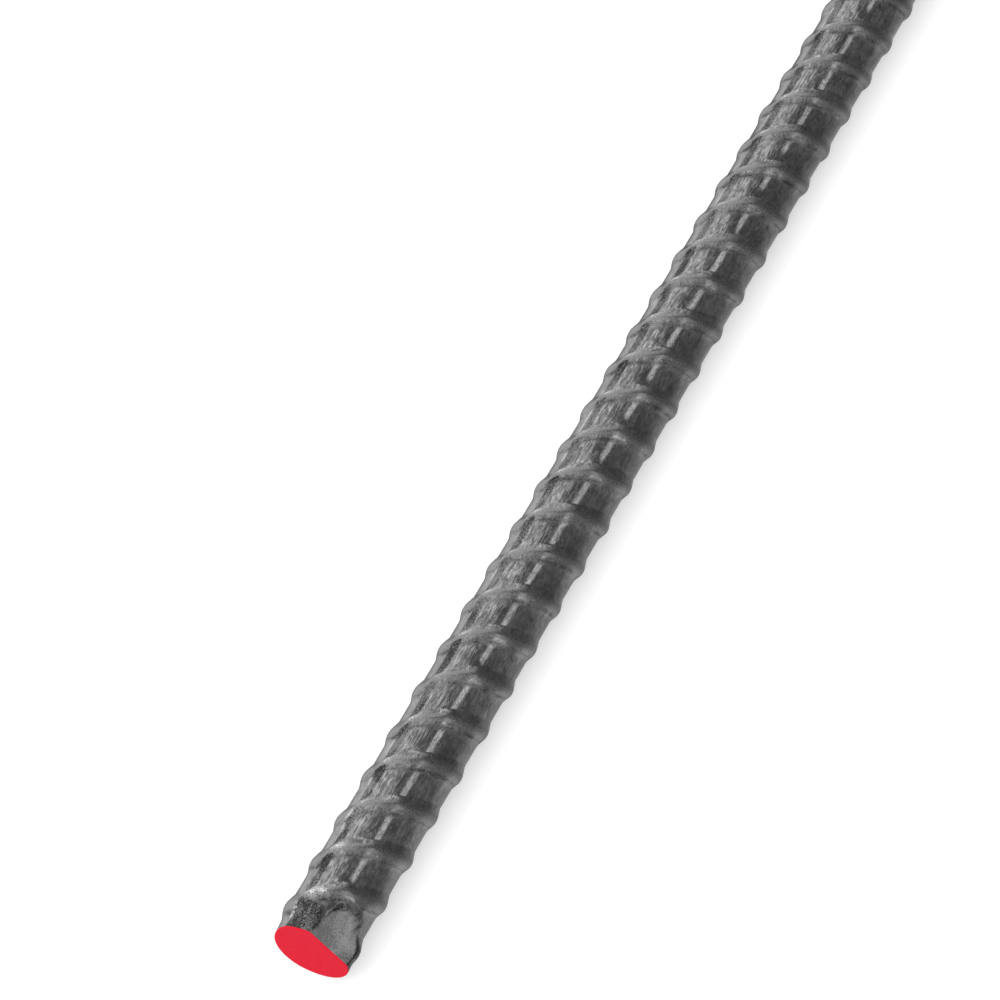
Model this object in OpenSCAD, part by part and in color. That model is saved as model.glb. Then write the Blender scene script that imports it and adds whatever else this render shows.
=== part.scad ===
// Deformed steel reinforcing bar, size No. 4 (1/2 in), one precut 2 ft length.
//
// The bar lies along X on the plane Z = 0, with its middle over the origin.
// The body is drawn at the nominal diameter, which is that of the plain round that
// weighs the same for each metre. The rolled ribs, about 0.55 mm high, are fine relief
// and aren't drawn here.
//
// Both ends are sheared. The blade leaves a shallow slanted flat on one side of each
// end. The moving blade marks one end, and the fixed blade marks the other end on the
// opposite side.

/* [Bar] */
// Nominal diameter of the bar, in mm
bar_d = 12.7; // [9.5:0.05:25.4]
// Length of the bar as cut, in mm
bar_length = 609.6; // [150:0.1:6100]

/* [Sheared ends] */
// Length of the blade's flat along the bar, in mm
flat_length = 6.6; // [3:0.1:12]
// Depth of the blade's flat at the cut face, in mm
flat_depth = 1.7; // [0.4:0.1:4]
// Direction that the flat at the +X end faces, in degrees from straight up towards +Y
flat_angle = 48; // [0:1:180]
// Width of the edge that the cut rounds over, in mm
edge_break = 0.4; // [0:0.05:1]

/* [Hidden] */

$fn = 96;

bar_r = bar_d / 2;
// Slope of the blade's flat to the bar's axis
flat_slope = atan(flat_depth / flat_length);
// Side of the block that cuts a flat, larger than the bar's end in every direction
block_side = 2 * (bar_d + flat_length);

// The bar's body: half its length section, turned about the X axis.
module round_body() {
    half_length = bar_length / 2;
    face_r = bar_r - edge_break;
    rotate([0, 90, 0])
        rotate_extrude()
            polygon([
                [0, -half_length],
                [face_r, -half_length],
                [bar_r, -half_length + edge_break],
                [bar_r, half_length - edge_break],
                [face_r, half_length],
                [0, half_length]
            ]);
}

// What a shear blade presses away at the +X end. Its underside slopes down from the
// bar's surface to flat_depth below it at the cut face.
module blade_press(angle) {
    rotate([-angle, 0, 0])
        translate([bar_length / 2 - flat_length, 0, bar_r])
            rotate([0, flat_slope, 0])
                translate([-block_side / 2, -block_side / 2, 0])
                    cube(block_side);
}

module bar() {
    color([0.33, 0.33, 0.32])
        translate([0, 0, bar_r])
            difference() {
                round_body();
                blade_press(flat_angle);
                rotate([0, 0, 180])
                    blade_press(180 - flat_angle);
            }
}

bar();
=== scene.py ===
"""Looks of a deformed steel reinforcing bar that lies on a pale studio floor.

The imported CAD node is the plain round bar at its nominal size. One ribbed mesh stands for
it here: the rolled ribs, the flats that the shear pressed into both ends, the broken rims
and the rough cut faces, of which the one at +X is painted red.

A place on the bar is given by s, the distance from the painted end along the bar, and phi,
the bearing round the bar from straight up towards +Y. Everything is in metres and radians
unless a name says otherwise.
"""

import math

import bmesh
import bpy
import numpy as np
from mathutils import Matrix, Vector


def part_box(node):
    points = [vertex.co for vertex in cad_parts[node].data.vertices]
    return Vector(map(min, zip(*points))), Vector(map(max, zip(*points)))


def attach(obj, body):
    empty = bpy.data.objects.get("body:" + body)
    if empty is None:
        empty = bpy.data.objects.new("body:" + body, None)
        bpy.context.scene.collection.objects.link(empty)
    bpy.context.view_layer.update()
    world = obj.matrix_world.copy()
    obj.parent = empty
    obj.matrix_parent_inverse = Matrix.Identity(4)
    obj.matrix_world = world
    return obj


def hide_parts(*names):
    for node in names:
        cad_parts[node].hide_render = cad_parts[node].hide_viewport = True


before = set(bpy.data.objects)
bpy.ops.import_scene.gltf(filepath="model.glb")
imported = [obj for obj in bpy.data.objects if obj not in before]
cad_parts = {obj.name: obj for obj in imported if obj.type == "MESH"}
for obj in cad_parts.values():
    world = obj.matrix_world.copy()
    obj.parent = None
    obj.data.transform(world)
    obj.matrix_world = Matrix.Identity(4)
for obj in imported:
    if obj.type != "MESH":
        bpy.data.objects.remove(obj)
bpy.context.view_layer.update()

# ---------------------------------------------------------------- sizes

MM = 0.001


def radians(*degrees):
    return tuple(math.radians(d) for d in degrees)


LOW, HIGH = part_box("bar")
BAR_LENGTH = HIGH.x - LOW.x
NOMINAL_R = (HIGH.z - LOW.z) / 2
AXIS_Z = (HIGH.z + LOW.z) / 2
PAINTED_X = HIGH.x

# The rolled section: a core a little thinner than nominal, and ribs that stand past it
CORE_R = NOMINAL_R - 0.18 * MM
RIB_HEIGHT = 0.55 * MM
CREST_R = CORE_R + RIB_HEIGHT
RIB_PITCH = 8.48 * MM
# Two rolls shape the bar, and meet at this bearing and opposite it. On the half of the
# higher bearings each rib slants by RIB_SLANT along the bar, on the other by BACK_SLANT.
# Where the halves meet, the rib steps across within SEAM_BLEND: by NEAR_STEP at this
# bearing and by FAR_STEP opposite it. In one turn a rib comes to the next rib's start.
SEAM_BEARING = math.radians(-41)
RIB_SLANT, BACK_SLANT = 8.73 * MM, -2.2 * MM
NEAR_STEP = 1.3 * MM
FAR_STEP = RIB_PITCH - RIB_SLANT - BACK_SLANT - NEAR_STEP
SEAM_BLEND = math.radians(8)
# Where the crest of the first whole rib meets the seam
FIRST_RIB = 5.34 * MM
# A rib's flanks along the bar, measured from its crest. "Near" is the painted end's side.
NEAR_FLANK, FAR_FLANK = (-2.45 * MM, -0.25 * MM), (0.2 * MM, 2.3 * MM)
# How much the far flank rounds over at the crest, as a share of its length
CREST_ROUND = 0.15
# The near flank is steeper from the first span of bearings to the second. There its foot
# and its top shift along the bar.
STEEP_FROM, STEEP_TO = radians(-52, -34), radians(24, 44)
STEEP_SHIFT = (1.15 * MM, 0.35 * MM)
# Unevenness of the rolling: along the bar, of the ribs' height as a share, and of the core
RIB_WANDER, RIB_UNEVEN, CORE_UNEVEN = 0.13 * MM, 0.06, 0.014 * MM

# The sheared ends
RIM = 0.25 * MM
# The blade pressed a flat into the side, in outline half of an ellipse
FLAT_BEARING, FLAT_HALF_WIDTH, FLAT_LENGTH = math.radians(42), math.radians(39), 6.4 * MM
# How far the flat's floor is from the axis at the end, and how much it rises per length
FLAT_TOP, FLAT_RISE = 4.9 * MM, 0.085
FLAT_UNEVEN, FLAT_SOFTNESS = 0.04 * MM, 0.10 * MM
# Past the outline a wall leads back to the bar's side, and then comes a low lip. Their
# places are in terms of `inside`, which is 1 at the ellipse's middle and 0 on its outline.
WALL = 0.3
LIP, LIP_WIDTH, LIP_HEIGHT, LIP_FADE = 0.62, 0.16, 0.14 * MM, 0.4 * MM
# The rest of the end is pushed out of round: harmonic, size and direction
FLARE_LENGTH = 5.5 * MM
FLARE = ((0, 0.10 * MM, 0.0), (1, 0.40 * MM, math.radians(158)), (3, 0.22 * MM, math.radians(-58)))
# How deep the cut face is torn, and how much of its height counts as a radian in its waves
TORN_DEPTH, TORN_RADIAN = 0.06 * MM, 9 * MM
# The paint covers the cut face and this share of its rim.
PAINTED_RIM = 0.9

# Painted shade along a rib's near foot: place from the crest, shift where it is steep, width
FOOT_AT, FOOT_SHIFT, FOOT_WIDTH = -1.55 * MM, 0.35 * MM, 0.4 * MM
# Where a painted glint lies on the far flanks: place from the crest, width along and round the bar
GLINT_AT, GLINT_WIDTH = 0.75 * MM, 0.4 * MM
GLINT_BEARING, GLINT_SPAN = math.radians(-30), 0.09
GLINT, GLINT_UNEVEN = 0.75, 0.5
# Rough scale covers the ends past these bearings, and fades out between these distances
SCALED_FROM = radians(-44, -34)
SCALED_TO, SCALED_UNEVEN = (3.9 * MM, 5.5 * MM), 0.8 * MM
# The flat's look fades in over these depths pressed, and at its outline gives way to the
# wall's painted shade, which ends at the lip. The last two are spans of `inside`.
PRESSED, FLAT_EDGE, WALL_EDGE = (-0.14 * MM, 0.21 * MM), (-0.072, 0.048), (-LIP, 0.2 - LIP)
# Bright scrapes near the painted end, also painted glints: s and half length in mm,
# bearing and half width in degrees
SCRAPES_AND_GLINTS = (
    (6.7, 0.8, -24, 6), (7.2, 0.5, -12, 6), (15.5, 0.5, -26, 7),
    (21.5, 0.4, -39, 3), (18.4, 0.3, -41, 3), (31.8, 0.3, -30, 4), (2.6, 1.6, -40, 2),
)

# The grid: columns round the bar, and rows along it in mm from each crest
COLUMNS = 72
ROWS = (-3.3, -2.45, -2.0, -1.55, -1.2, -0.9, -0.6, -0.3, 0.0, 0.3, 0.7, 1.1, 1.5, 1.9, 2.25, 2.45)
# Each end has rows round its rim and, as shares of the radius, inward over its face. Its
# last stretch has twice as many rows and columns.
RIM_ROWS = 4
FACE_ROWS = (0.12, 0.3, 0.5, 0.7, 0.85, 1.0)
FINE_END = 10 * MM
# Points this close are one
SAME_PLACE = 2e-6


def smooth(t):
    """0 to 1 as t goes from 0 to 1, level at both ends."""
    t = np.clip(t, 0, 1)
    return t * t * (3 - 2 * t)


def ripple(s, phi, seed, longest, count=14, turns=5):
    """Gentle unevenness in about -1..1: waves along and round the bar, closed round it."""
    rng = np.random.default_rng(seed)
    total = np.zeros(np.broadcast(s, phi).shape)
    for _ in range(count):
        along = 2 * math.pi / (longest * rng.uniform(0.2, 1))
        total += np.cos(along * s + rng.integers(-turns, turns + 1) * phi + rng.uniform(0, 6.283))
    return total / math.sqrt(count)


def rise(u, span):
    """0 before the span, 1 after it."""
    return smooth((u - span[0]) / (span[1] - span[0]))


def bell(u, middle, width):
    return np.exp(-(((u - middle) / width) ** 2))


def rib_path(phi):
    """How far along the bar a rib's crest has come at phi, from -pi to pi, since the seam."""
    half = (phi - SEAM_BEARING) / math.pi
    blend = SEAM_BLEND / math.pi
    before = RIB_SLANT - RIB_PITCH + FAR_STEP + BACK_SLANT * (half + 1)
    after = RIB_SLANT + FAR_STEP + BACK_SLANT * (half - 1)
    path = before + (RIB_SLANT * half - before) * smooth(half / blend + 0.5)
    return path + (after - path) * smooth((half - 1) / blend + 0.5)


def rib_offset(s, phi):
    """Signed distance along the bar from the nearest crest."""
    wander = RIB_WANDER * ripple(s, phi, seed=1, longest=60 * MM)
    u = s - FIRST_RIB - rib_path((phi + math.pi) % (2 * math.pi) - math.pi) + wander
    return (u + RIB_PITCH / 2) % RIB_PITCH - RIB_PITCH / 2


def rib_section(u, phi):
    """The rib's height as a share, and how much a place belongs to its near foot."""
    steep = rise(phi, STEEP_FROM) * (1 - rise(phi, STEEP_TO))
    near = rise(u, [edge + steep * shift for edge, shift in zip(NEAR_FLANK, STEEP_SHIFT)])
    down = np.clip((u - FAR_FLANK[0]) / (FAR_FLANK[1] - FAR_FLANK[0]), 0, 1)
    fall = (np.hypot(down, CREST_ROUND) - CREST_ROUND) / (math.hypot(1, CREST_ROUND) - CREST_ROUND)
    return near * (1 - fall), bell(u, FOOT_AT + FOOT_SHIFT * steep, FOOT_WIDTH)


def side_radius(s, phi, s_end, rib):
    """The side's distance from the axis before the blade presses its flat."""
    height = RIB_HEIGHT * rib * (1 + RIB_UNEVEN * ripple(s, phi, seed=2, longest=40 * MM))
    radius = CORE_R + height + CORE_UNEVEN * ripple(s, phi, seed=3, longest=16 * MM, turns=7)
    flare = sum(size * np.cos(order * phi - shift) for order, size, shift in FLARE)
    return radius + flare * smooth(1 - s_end / FLARE_LENGTH)


def press_flat(s, phi, end_bearing, s_end, radius):
    """y and z about the axis with the flat pressed in, then `inside`, and how far the side
    stood over the flat."""
    out = radius * np.cos(phi - end_bearing)
    across = radius * np.sin(phi - end_bearing)
    off = (phi - end_bearing + math.pi) % (2 * math.pi) - math.pi
    inside = 1 - (off / FLAT_HALF_WIDTH) ** 2 - (s_end / FLAT_LENGTH) ** 2
    uneven = FLAT_UNEVEN * ripple(s, off, seed=4, longest=9 * MM, turns=2)
    over = out - FLAT_TOP - FLAT_RISE * s_end - uneven
    lip = LIP_HEIGHT * bell(inside, -LIP, LIP_WIDTH) * smooth(over / LIP_FADE)
    pressed_by = FLAT_SOFTNESS * np.logaddexp(0, over / FLAT_SOFTNESS)
    cut = out - smooth(1 + inside / WALL) * pressed_by + lip * out / radius
    across = across * (1 + lip / radius)
    y = cut * math.sin(end_bearing) + across * math.cos(end_bearing)
    # The ends' flare doesn't reach under the ribs, on which the bar rests.
    z = np.maximum(cut * math.cos(end_bearing) - across * math.sin(end_bearing), -CREST_R)
    return y, z, inside, over


def bare_steel(s, phi, u):
    """Painted glints, as bright steel: a band along the far flanks at one bearing, and
    scrapes near the painted end.
    """
    glint_and_scrape = GLINT * bell(u, GLINT_AT, GLINT_WIDTH) * bell(phi, GLINT_BEARING, GLINT_SPAN)
    glint_and_scrape = glint_and_scrape * (1 + GLINT_UNEVEN * ripple(s, phi, seed=8, longest=50 * MM, turns=1))
    for at, length, bearing, width in SCRAPES_AND_GLINTS:
        scrape_and_glint = bell(s / MM, at, length) * bell(np.degrees(phi), bearing, width)
        glint_and_scrape = np.maximum(glint_and_scrape, scrape_and_glint)
    return glint_and_scrape


def surface(s, phi, end_bearing, s_end):
    """(y, z about the axis, attributes) at places on the bar's side."""
    u = rib_offset(s, phi)
    rib, foot = rib_section(u, phi)
    radius = side_radius(s, phi, s_end, rib)
    y, z, inside, over = press_flat(s, phi, end_bearing, s_end, radius)
    pressed, in_flat = rise(over, PRESSED), rise(inside, FLAT_EDGE)
    flat = pressed * in_flat
    wall = pressed * (1 - in_flat) * rise(inside, WALL_EDGE)
    scaled_end = s_end + SCALED_UNEVEN * ripple(s, phi, seed=7, longest=9 * MM)
    scaled = (1 - rise(scaled_end, SCALED_TO)) * rise(phi, SCALED_FROM)
    # Rough scale at the ends, and painted shade on the wall round the flat
    dull = np.maximum(scaled * (1 - flat), wall)
    return y, z, {"rib": rib, "foot": foot, "flat": flat, "dull": dull, "bare": bare_steel(s, phi, u)}


def bar_points(p, phi):
    """Points and their attributes for grid places (p, phi).

    p is s along the bar's side. Below RIM it goes round the broken rim, and below 0 it
    runs inward over the cut face. It does the same past the other end."""
    far_end = p > BAR_LENGTH / 2
    q = np.where(far_end, BAR_LENGTH - p, p)
    s_end = np.maximum(q, RIM)
    s = np.where(far_end, BAR_LENGTH - s_end, s_end)
    here = surface(s, phi, FLAT_BEARING, s_end)
    there = surface(s, phi, FLAT_BEARING + math.pi, s_end)
    y, z = (np.where(far_end, b, a) for a, b in zip(here[:2], there[:2]))
    attributes = {name: np.where(far_end, there[2][name], value) for name, value in here[2].items()}
    turn = np.clip(q / RIM, 0, 1)
    inset = RIM * (1 - np.sqrt(np.clip(1 - (1 - turn) ** 2, 0, 1)))
    depth = np.where(q < RIM, np.clip(q, 0, None), s_end)
    outline = np.hypot(y, z)
    scale = (outline - inset) / outline
    inward = np.clip(1 + np.minimum(q, 0) / CORE_R, 0, 1)
    face = inward * scale
    y, z = y * face, z * face
    torn = TORN_DEPTH * np.abs(ripple(y, z / TORN_RADIAN, seed=5, longest=12 * MM, turns=3))
    depth = depth + np.where(q < 0, torn * rise(1 - inward, (0, 0.25)), 0)
    x = np.where(far_end, PAINTED_X - BAR_LENGTH + depth, PAINTED_X - depth)
    return np.stack([x, y, z + AXIS_Z], -1), {**attributes, "from_end": q / MM}


def grid_places():
    """Rows of p and the columns' bearings. The rows on the side follow the ribs."""
    columns = np.linspace(-math.pi, math.pi, COLUMNS + 1)
    crests = FIRST_RIB + RIB_PITCH * np.arange(-3, math.ceil(BAR_LENGTH / RIB_PITCH) + 2)
    rows = (crests[:, None] + np.array(ROWS) * MM).ravel()
    side = np.clip(rows[:, None] + rib_path(columns)[None, :], RIM, BAR_LENGTH - RIM)
    on_bar = (np.ptp(side, axis=1) > 0) | ((side[:, 0] > RIM) & (side[:, 0] < BAR_LENGTH - RIM))
    turn = RIM * (1 - np.sin(np.linspace(1 / RIM_ROWS, 1, RIM_ROWS) * math.pi / 2))
    end = np.concatenate([turn, -CORE_R * np.array(FACE_ROWS)])
    ones = np.ones(len(columns))
    start_rows = np.append(end[::-1], RIM)[:, None] * ones
    last_rows = BAR_LENGTH - np.append(RIM, end)[:, None] * ones
    return np.concatenate([start_rows, side[on_bar], last_rows]), columns


def make_grid(bm):
    """The grid as flat faces, with p as x and the bearing as y."""
    rows, columns = grid_places()
    points = [[bm.verts.new((p, phi, 0)) for p, phi in zip(row, columns)] for row in rows]
    for below, above in zip(points, points[1:]):
        for j in range(COLUMNS):
            corners = [below[j], above[j], above[j + 1], below[j + 1]]
            # Rows that run out at a rim lie on it from there on, and need no faces.
            if len({round(c.co.x, 9) for c in corners}) > 1:
                bm.faces.new(corners)
    bmesh.ops.remove_doubles(bm, verts=bm.verts, dist=1e-8)
    fine = [e for e in bm.edges if all(min(v.co.x, BAR_LENGTH - v.co.x) < FINE_END for v in e.verts)]
    bmesh.ops.subdivide_edges(bm, edges=fine, cuts=1, use_grid_fill=True)


def make_bar():
    bm = bmesh.new()
    make_grid(bm)
    p = np.array([v.co.x for v in bm.verts])
    phi = np.array([v.co.y for v in bm.verts])
    places, attributes = bar_points(p, phi)
    layers = {name: bm.verts.layers.float.new(name) for name in attributes}
    for v, place, *values in zip(bm.verts, places, *attributes.values()):
        v.co = place
        for layer, value in zip(layers.values(), values):
            v[layer] = value
    bmesh.ops.remove_doubles(bm, verts=bm.verts, dist=SAME_PLACE)
    bmesh.ops.dissolve_degenerate(bm, edges=bm.edges, dist=SAME_PLACE / 2)
    bmesh.ops.recalc_face_normals(bm, faces=bm.faces)
    for f in bm.faces:
        f.smooth = True
        at_end = max(v[layers["from_end"]] for v in f.verts) < PAINTED_RIM * RIM / MM
        f.material_index = 1 if at_end and f.calc_center_median().x > 0 else 0
    mesh = bpy.data.meshes.new("ribbed_bar")
    bm.to_mesh(mesh)
    bm.free()
    bar = bpy.data.objects.new("ribbed_bar", mesh)
    bpy.context.scene.collection.objects.link(bar)
    return bar


# ---------------------------------------------------------------- materials


class Nodes:
    """Shorthand for building the nodes of a material or of the world."""

    def __init__(self, owner, output="OutputMaterial"):
        self.owner = owner
        owner.use_nodes = True
        self.tree = owner.node_tree
        self.tree.nodes.clear()
        self.out = self.tree.nodes.new("ShaderNode" + output)

    def add(self, kind, settings=None, **inputs):
        """A node with these settings and inputs. An input's name has _ for a space."""
        node = self.tree.nodes.new("ShaderNode" + kind)
        for key, value in (settings or {}).items():
            setattr(node, key, value)
        for key, value in inputs.items():
            self.set(node, key.replace("_", " "), value)
        return node

    def set(self, node, key, value):
        """Link or set an input, which key gives by its name or by its number."""
        socket = node.inputs[int(key)] if key.isdigit() else node.inputs[key]
        if isinstance(value, bpy.types.NodeSocket):
            self.tree.links.new(value, socket)
        else:
            socket.default_value = value

    def finish(self, shader):
        self.tree.links.new(shader.outputs[0], self.out.inputs[0])
        return self.owner

    def math(self, operation, *values, clamp=False):
        node = self.add("Math", {"operation": operation, "use_clamp": clamp})
        for i, value in enumerate(values):
            self.set(node, str(i), value)
        return node.outputs[0]

    def total(self, *values):
        first = values[0]
        for value in values[1:]:
            first = self.math("ADD", first, value)
        return first

    def product(self, *values):
        first = values[0]
        for value in values[1:]:
            first = self.math("MULTIPLY", first, value)
        return first

    def dot(self, vector, axis):
        node = self.add("VectorMath", {"operation": "DOT_PRODUCT"})
        self.set(node, "0", vector)
        self.set(node, "1", axis)
        return node.outputs["Value"]

    def mix(self, share, a, b):
        node = self.add("Mix", {"data_type": "RGBA"})
        self.set(node, "0", share)
        self.set(node, "6", a)
        self.set(node, "7", b)
        return node.outputs[2]

    def blend(self, share, a, b):
        """A number that goes from a to b as share goes from 0 to 1."""
        node = self.add("Mix", {"data_type": "FLOAT"})
        for i, v in enumerate((share, a, b)):
            self.set(node, str((0, 2, 3)[i]), v)
        return node.outputs[0]

    def spread(self, value, low, high, to_low=0.0, to_high=1.0):
        """A number that goes smoothly from to_low to to_high as value goes from low to high."""
        node = self.add("MapRange", {"interpolation_type": "SMOOTHSTEP"})
        for i, v in enumerate((value, low, high, to_low, to_high)):
            self.set(node, str(i), v)
        return node.outputs[0]

    def band(self, value, low, high, soft):
        """1 between low and high, with soft edges."""
        rise = self.spread(value, low - soft, low + soft)
        return self.math("MULTIPLY", rise, self.spread(value, high - soft, high + soft, 1.0, 0.0))

    def noise(self, vector, squeeze, scale, detail, roughness, distortion):
        """Noise from 0 to 1, drawn out along the bar where squeeze is under 1."""
        squeezed = self.add("Mapping", Vector=vector, Scale=(squeeze, 1, 1)).outputs[0]
        node = self.add("TexNoise", Vector=squeezed, Scale=scale, Detail=detail, Roughness=roughness)
        self.set(node, "Distortion", distortion)
        return node.outputs["Fac"]

    def attribute(self, name):
        return self.add("Attribute", {"attribute_name": name}).outputs["Fac"]


def grey(level, warm=0.0):
    """A linear colour, yellower with `warm`."""
    return (level * (1 + warm), level * (1 + warm * 0.9), level * (1 - warm), 1)


# Noise: how far it is squeezed along the bar, scale, detail, roughness and distortion
STREAKS, PATCHES = (0.17, 3500, 2, 0.55, 0.8), (0.5, 330, 3, 0.6, 0.5)
GRAIN, PITS = (1, 4200, 2, 0.6, 0), (1, 1300, 3, 0.7, 0)
BLOTCHES, PAINT_GRAIN = (0.7, 850, 3, 0.65, 0.6), (1, 2500, 3, 0.6, 0)
# Colours of the steel's parts and of the paint
SCALE_DARK, SCALE_PALE = grey(0.072, 0.008), grey(0.115, 0.008)
STREAK_PALE, STREAK_DARK = grey(0.17), grey(0.022, 0.02)
BLOTCH, PIT = grey(0.035, 0.01), grey(0.02)
WORN, WORN_SPOT = grey(0.082, 0.008), grey(0.03, 0.008)
# Rough scale, and painted shade at the ribs' near feet, along the seams and on the flat's wall
SHADE_AND_GRIME_DARK, SHADE_AND_GRIME_PALE = grey(0.012), grey(0.08)
FLAT_DARK, FLAT_PALE = grey(0.13), grey(0.30)
# Painted glints and scraped steel
BARE_AND_GLINT = grey(0.42)
PAINT_DARK, PAINT_PALE = (0.60, 0.008, 0.026, 1), (0.66, 0.012, 0.034, 1)
METALLIC, STEEL_IOR = 0.6, 1.95
# Heights of the relief that is too fine for the mesh
STREAK_HEIGHT, GRAIN_HEIGHT, PATCH_HEIGHT = 0.005 * MM, 0.003 * MM, 0.007 * MM
PIT_DEPTH, GRIME_HEIGHT, PAINT_HEIGHT = 0.008 * MM, 0.045 * MM, 0.006 * MM
# The band of rough scale along a seam, darkened more as painted shade, and the broken edge
# beside it, painted bright as a glint line, as bearings from the seam
SEAM_BAND, FLASH_GLINT_BAND = (0.0, 0.245), (-0.062, -0.012)
SEAM_RAGGED = 0.12
# The bearings between which the streaks are strongest, next to the seam where the softbox's
# reflection falls: there the streaks are partly painted sheen
STREAKS_IN_SHEEN = radians(-26, 10)


def steel_parts(n):
    """Textures and the shares of each part of the bar's surface, by name."""
    place = n.add("TexCoord").outputs["Object"]
    t = {name: n.attribute(name) for name in ("rib", "flat", "dull", "foot", "bare")}
    t["streaks"] = n.noise(place, *STREAKS)
    t["grain"] = n.noise(place, *GRAIN)
    t["patches"] = n.noise(place, *PATCHES)
    t["pits"] = n.spread(n.noise(place, *PITS), 0.36, 0.42, 1.0, 0.0)
    t["speckle"] = n.total(n.product(t["grain"], 0.55), n.product(t["patches"], 0.45))
    t["worn"] = n.spread(t["rib"], 0.55, 0.85)

    # Rough, pitted scale lies along the seams between the two rolls, off the ribs, darkened as
    # painted shade.
    apart = n.add("SeparateXYZ", Vector=place)
    bearing = n.math("ARCTAN2", apart.outputs["Y"], n.math("SUBTRACT", apart.outputs["Z"], AXIS_Z))
    ragged = n.product(n.math("SUBTRACT", t["grain"], 0.5), SEAM_RAGGED)
    past_seam = n.math("SUBTRACT", n.math("ADD", bearing, ragged), SEAM_BEARING)
    opposite = [math.pi + edge for edge in SEAM_BAND]
    seam = n.total(n.band(past_seam, *SEAM_BAND, 0.02), n.band(past_seam, *opposite, 0.02))
    off_ribs = n.math("SUBTRACT", 1.0, n.math("MAXIMUM", t["worn"], t["flat"]), clamp=True)
    # Painted shade: a dark line along each rib's near foot
    foot = n.product(t["foot"], n.spread(t["patches"], 0.3, 0.6, 1.0, 0.8))
    rough = n.math("MAXIMUM", n.product(seam, off_ribs), foot)
    # Rough scale and painted shade in one mask
    t["grime"] = n.math("MAXIMUM", rough, t["dull"])

    # A painted glint line along the broken edge beside the seam
    flash_glint = n.product(n.band(past_seam, *FLASH_GLINT_BAND, 0.015), n.spread(t["patches"], 0.50, 0.60))
    flash_glint = n.product(flash_glint, n.spread(t["rib"], 0.05, 0.3, 1.0, 0.0), 0.4)
    # Painted glints and scraped steel, with the painted glint line
    t["bare"] = n.math("MAXIMUM", n.product(t["bare"], n.spread(t["grain"], 0.40, 0.56)), flash_glint)

    # Dark marks and pale streaks in the smooth scale, the streaks partly painted sheen,
    # and dark spots on the worn ribs
    smooth_part = n.math("SUBTRACT", 1.0, n.math("MAXIMUM", t["worn"], t["grime"]), clamp=True)
    streaky_in_sheen = n.product(smooth_part, n.blend(n.band(bearing, *STREAKS_IN_SHEEN, 0.09), 0.4, 1.0))
    t["pale"] = n.product(streaky_in_sheen, n.spread(t["streaks"], 0.55, 0.65, 0.0, 0.7))
    t["streaked"] = n.product(streaky_in_sheen, n.spread(t["streaks"], 0.42, 0.54, 0.9, 0.0))
    t["blotched"] = n.product(smooth_part, n.spread(n.noise(place, *BLOTCHES), 0.38, 0.54, 0.6, 0.0))
    t["mottled"] = n.product(t["worn"], n.spread(t["grain"], 0.42, 0.58, 0.6, 0.0))
    return t


def steel_bump(n, t):
    height = n.total(
        n.product(t["streaks"], STREAK_HEIGHT),
        n.product(t["grain"], GRAIN_HEIGHT),
        n.product(t["patches"], PATCH_HEIGHT),
        n.product(t["pits"], -PIT_DEPTH),
        n.product(t["grain"], t["grime"], GRIME_HEIGHT),
    )
    return n.add("Bump", Strength=1.0, Distance=1.0, Height=height).outputs[0]


def steel_colour(n, t):
    colour = n.mix(n.spread(t["patches"], 0.38, 0.62), SCALE_DARK, SCALE_PALE)
    grime = n.mix(n.spread(t["speckle"], 0.45, 0.58), SHADE_AND_GRIME_DARK, SHADE_AND_GRIME_PALE)
    flat = n.mix(n.spread(t["speckle"], 0.42, 0.60), FLAT_DARK, FLAT_PALE)
    for share, layer in (
        (t["pale"], STREAK_PALE),
        (t["streaked"], STREAK_DARK),
        (t["blotched"], BLOTCH),
        (n.product(t["pits"], 0.75), PIT),
        (n.product(t["worn"], 0.75), WORN),
        (t["mottled"], WORN_SPOT),
        (n.product(t["grime"], 0.9), grime),
        (n.product(t["flat"], 0.9), flat),
        (t["bare"], BARE_AND_GLINT),
    ):
        colour = n.mix(share, colour, layer)
    return colour


def steel_roughness(n, t):
    rough = n.spread(t["streaks"], 0.35, 0.65, 0.14, 0.09)
    for share, level in (
        (t["worn"], n.spread(t["grain"], 0.3, 0.7, 0.24, 0.34)),
        (t["grime"], 0.40),
        (t["flat"], 0.42),
        (t["bare"], 0.22),
    ):
        rough = n.blend(share, rough, level)
    return rough


def steel_gloss(n, t):
    """The reflection's strength: dark marks, the rough scale and the painted shade reflect less."""
    marks = ((t["streaked"], 0.30), (t["mottled"], 0.20), (t["blotched"], 0.14))
    gloss = n.math("SUBTRACT", 0.60, n.total(*(n.product(share, loss) for share, loss in marks)))
    return n.blend(t["grime"], gloss, n.spread(t["speckle"], 0.45, 0.58, 0.0, 0.3))


def scale_material():
    """Mill scale: dark, smooth oxide with streaks drawn out along the bar, and ribs worn paler,
    with painted shade and painted glints.
    """
    n = Nodes(bpy.data.materials.new("mill_scale"))
    t = steel_parts(n)
    shader = n.add("BsdfPrincipled", Base_Color=steel_colour(n, t), Roughness=steel_roughness(n, t))
    n.set(shader, "Normal", steel_bump(n, t))
    n.set(shader, "Specular IOR Level", steel_gloss(n, t))
    shader.inputs["Metallic"].default_value = METALLIC
    shader.inputs["IOR"].default_value = STEEL_IOR
    return n.finish(shader)


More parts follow.
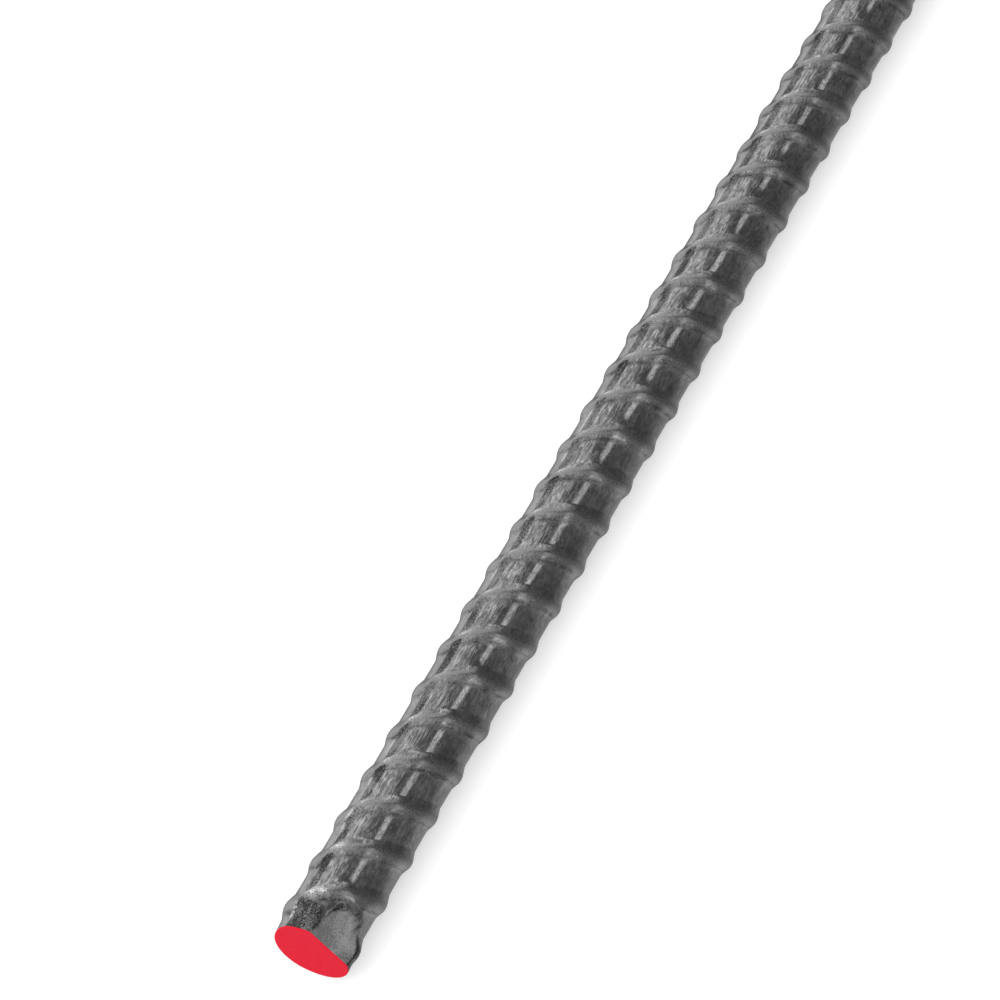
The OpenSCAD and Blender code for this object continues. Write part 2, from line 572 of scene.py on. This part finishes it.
def paint_material():
    """Flat red paint, thin enough to show the sheared face's grain."""
    n = Nodes(bpy.data.materials.new("end_paint"))
    place = n.add("TexCoord").outputs["Object"]
    grain = n.noise(place, *PAINT_GRAIN)
    bump = n.add("Bump", Strength=1.0, Distance=1.0, Height=n.product(grain, PAINT_HEIGHT))
    colour = n.mix(n.spread(grain, 0.3, 0.7), PAINT_DARK, PAINT_PALE)
    shader = n.add("BsdfPrincipled", Base_Color=colour, Roughness=0.6, Normal=bump.outputs[0])
    shader.inputs["Specular IOR Level"].default_value = 0.08
    return n.finish(shader)


# The floor's own glow in the picture, and its distance under the crests
FLOOR_GLOW, FLOOR_GAP = 0.35, 0.05 * MM


def floor_material():
    """Matt and pale, and a little brighter in the picture than its light makes it."""
    n = Nodes(bpy.data.materials.new("pale_floor"))
    seen = n.add("LightPath").outputs["Is Camera Ray"]
    shader = n.add("BsdfPrincipled", Base_Color=grey(0.8), Roughness=0.9, Emission_Color=grey(1.0))
    shader.inputs["Specular IOR Level"].default_value = 0
    n.set(shader, "Emission Strength", n.product(seen, FLOOR_GLOW))
    return n.finish(shader)


# ---------------------------------------------------------------- studio

# The camera's axes, and the level direction from the bar back towards it
CAMERA_RIGHT, CAMERA_UP = (-0.4520, 0.8920, 0.0), (-0.7472, -0.3786, 0.5462)
LEVEL_BACK = (0.8920, 0.4520, 0.0)
# The middle of the painted end from the camera, along its right, its up and its back
END_SEEN = Vector((-28.79, -67.98, -692.39)) * MM
LENS, SENSOR = 165.6, 36
# What glossy surfaces see: the brightness of each light
TABLE, REFLECTOR, SOFTBOX, STRIP, ROOM, DIM_TABLE = 1.9, 2.7, 2.75, 3.0, 0.6, 1.2
# What matt surfaces see: even daylight, and a soft light that leans past the painted end
DAYLIGHT = 0.6
FILL_RADIANCE, FILL_DISTANCE, FILL_LEAN = 2.2, 2.5, math.radians(35)
FILL_HALF_WIDTH, FILL_HALF_HEIGHT = radians(30, 25)


def make_floor():
    bpy.ops.mesh.primitive_plane_add(size=30, location=(0, 0, AXIS_Z - CREST_R - FLOOR_GAP))
    floor = bpy.context.object
    floor.name = "floor"
    floor.data.materials.append(floor_material())
    floor.visible_glossy = False


def make_fill():
    """A soft light over the bar's painted half that glossy surfaces don't show."""
    away = Vector((math.sin(FILL_LEAN), 0, math.cos(FILL_LEAN)))
    along = Vector((-math.cos(FILL_LEAN), 0, math.sin(FILL_LEAN)))
    light = bpy.data.lights.new("fill", "AREA")
    light.shape = "RECTANGLE"
    light.size = 2 * FILL_DISTANCE * math.cos(FILL_LEAN) * math.tan(FILL_HALF_WIDTH)
    light.size_y = 2 * FILL_DISTANCE * math.tan(FILL_HALF_HEIGHT)
    light.energy = FILL_RADIANCE * math.pi * light.size * light.size_y
    lamp = bpy.data.objects.new("fill", light)
    bpy.context.scene.collection.objects.link(lamp)
    target = Vector((PAINTED_X - 100 * MM, 0, AXIS_Z))
    rotation = Matrix((along.cross(away), along, away)).transposed().to_4x4()
    lamp.matrix_world = Matrix.Translation(target + away * FILL_DISTANCE) @ rotation
    lamp.visible_camera = False
    lamp.visible_glossy = False


def lights_on_left(n, around, back):
    """A bright table that darkens downwards, a reflector over its edge and a long softbox above."""
    table = n.product(n.spread(around, -112, -95, 1.0, 0.0), n.spread(around, -172, -112, 0.2, TABLE))
    reflector = n.product(n.band(around, -104, -52, 6), REFLECTOR)
    # Far from the camera the softbox reaches further over the bar, and is dimmer.
    turned = n.math("SUBTRACT", around, n.spread(back, -0.80, -0.64, 33, 0.0))
    softbox = n.product(n.spread(around, -56, -50), n.spread(turned, -34, 26, SOFTBOX, 0.0))
    softbox = n.product(softbox, n.spread(back, -1.0, -0.86, 0.6, 1.0))
    return n.total(table, reflector, softbox)


def lights_on_right(n, around, back):
    """A thin strip light, the room's dim wall and a dim table, brighter towards the camera."""
    strip = n.product(n.band(around, 21.5, 34.5, 0.8), n.spread(back, -0.52, -0.46, 0.0, STRIP))
    room = n.product(n.spread(around, -20, 30), n.spread(back, -0.45, 0.35, 0.12, ROOM))
    table = n.product(n.spread(around, 92, 124), n.spread(around, 145, 180, 1.0, 0.4))
    table = n.product(table, n.spread(back, -0.3, 0.3, 0.40, DIM_TABLE))
    return n.total(strip, room, table)


def make_world():
    """A studio round the bar: a plain white backdrop in the picture, even daylight for matt
    surfaces, and for glossy ones the lights on the camera's left and right.

    The lights lie square to the camera. A direction's `around` is its angle in degrees about the
    level line towards the camera, from straight up to the camera's right, and its `back` is how
    much of it points along that line."""
    n = Nodes(bpy.data.worlds.new("studio"), "OutputWorld")
    bpy.context.scene.world = n.owner
    way = n.add("TexCoord").outputs["Generated"]
    right, back = n.dot(way, CAMERA_RIGHT), n.dot(way, LEVEL_BACK)
    around = n.product(n.math("ARCTAN2", right, n.dot(way, (0, 0, 1))), 180 / math.pi)
    seen = n.total(lights_on_left(n, around, back), lights_on_right(n, around, back))

    path = n.add("LightPath")
    glossy = n.add("Background", Strength=seen)
    white = n.add("Background", Strength=1.0)
    daylight = n.add("Background", Strength=DAYLIGHT)
    for node in (glossy, white, daylight):
        node.inputs["Color"].default_value = grey(1.0)
    by_diffuse, by_camera = n.add("MixShader"), n.add("MixShader")
    for node, share, a, b in (
        (by_diffuse, "Is Diffuse Ray", glossy, daylight),
        (by_camera, "Is Camera Ray", by_diffuse, white),
    ):
        n.set(node, "0", path.outputs[share])
        n.set(node, "1", a.outputs[0])
        n.set(node, "2", b.outputs[0])
    n.finish(by_camera)


def make_camera():
    """Looks down on the painted end from its +Y side, with the bar running up and away."""
    data = bpy.data.cameras.new("camera")
    data.lens, data.sensor_width = LENS, SENSOR
    data.clip_start, data.clip_end = 0.01, 50
    camera = bpy.data.objects.new("camera", data)
    bpy.context.scene.collection.objects.link(camera)
    right, up = Vector(CAMERA_RIGHT), Vector(CAMERA_UP)
    rotation = Matrix((right, up, right.cross(up))).transposed()
    end = Vector((PAINTED_X, 0, AXIS_Z))
    camera.matrix_world = Matrix.Translation(end - rotation @ END_SEEN) @ rotation.to_4x4()
    bpy.context.scene.camera = camera


bar = make_bar()
bar.data.materials.append(scale_material())
bar.data.materials.append(paint_material())
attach(bar, "root")
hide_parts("bar")

make_floor()
make_world()
make_camera()
make_fill()
bpy.context.scene.view_settings.view_transform = "Standard"
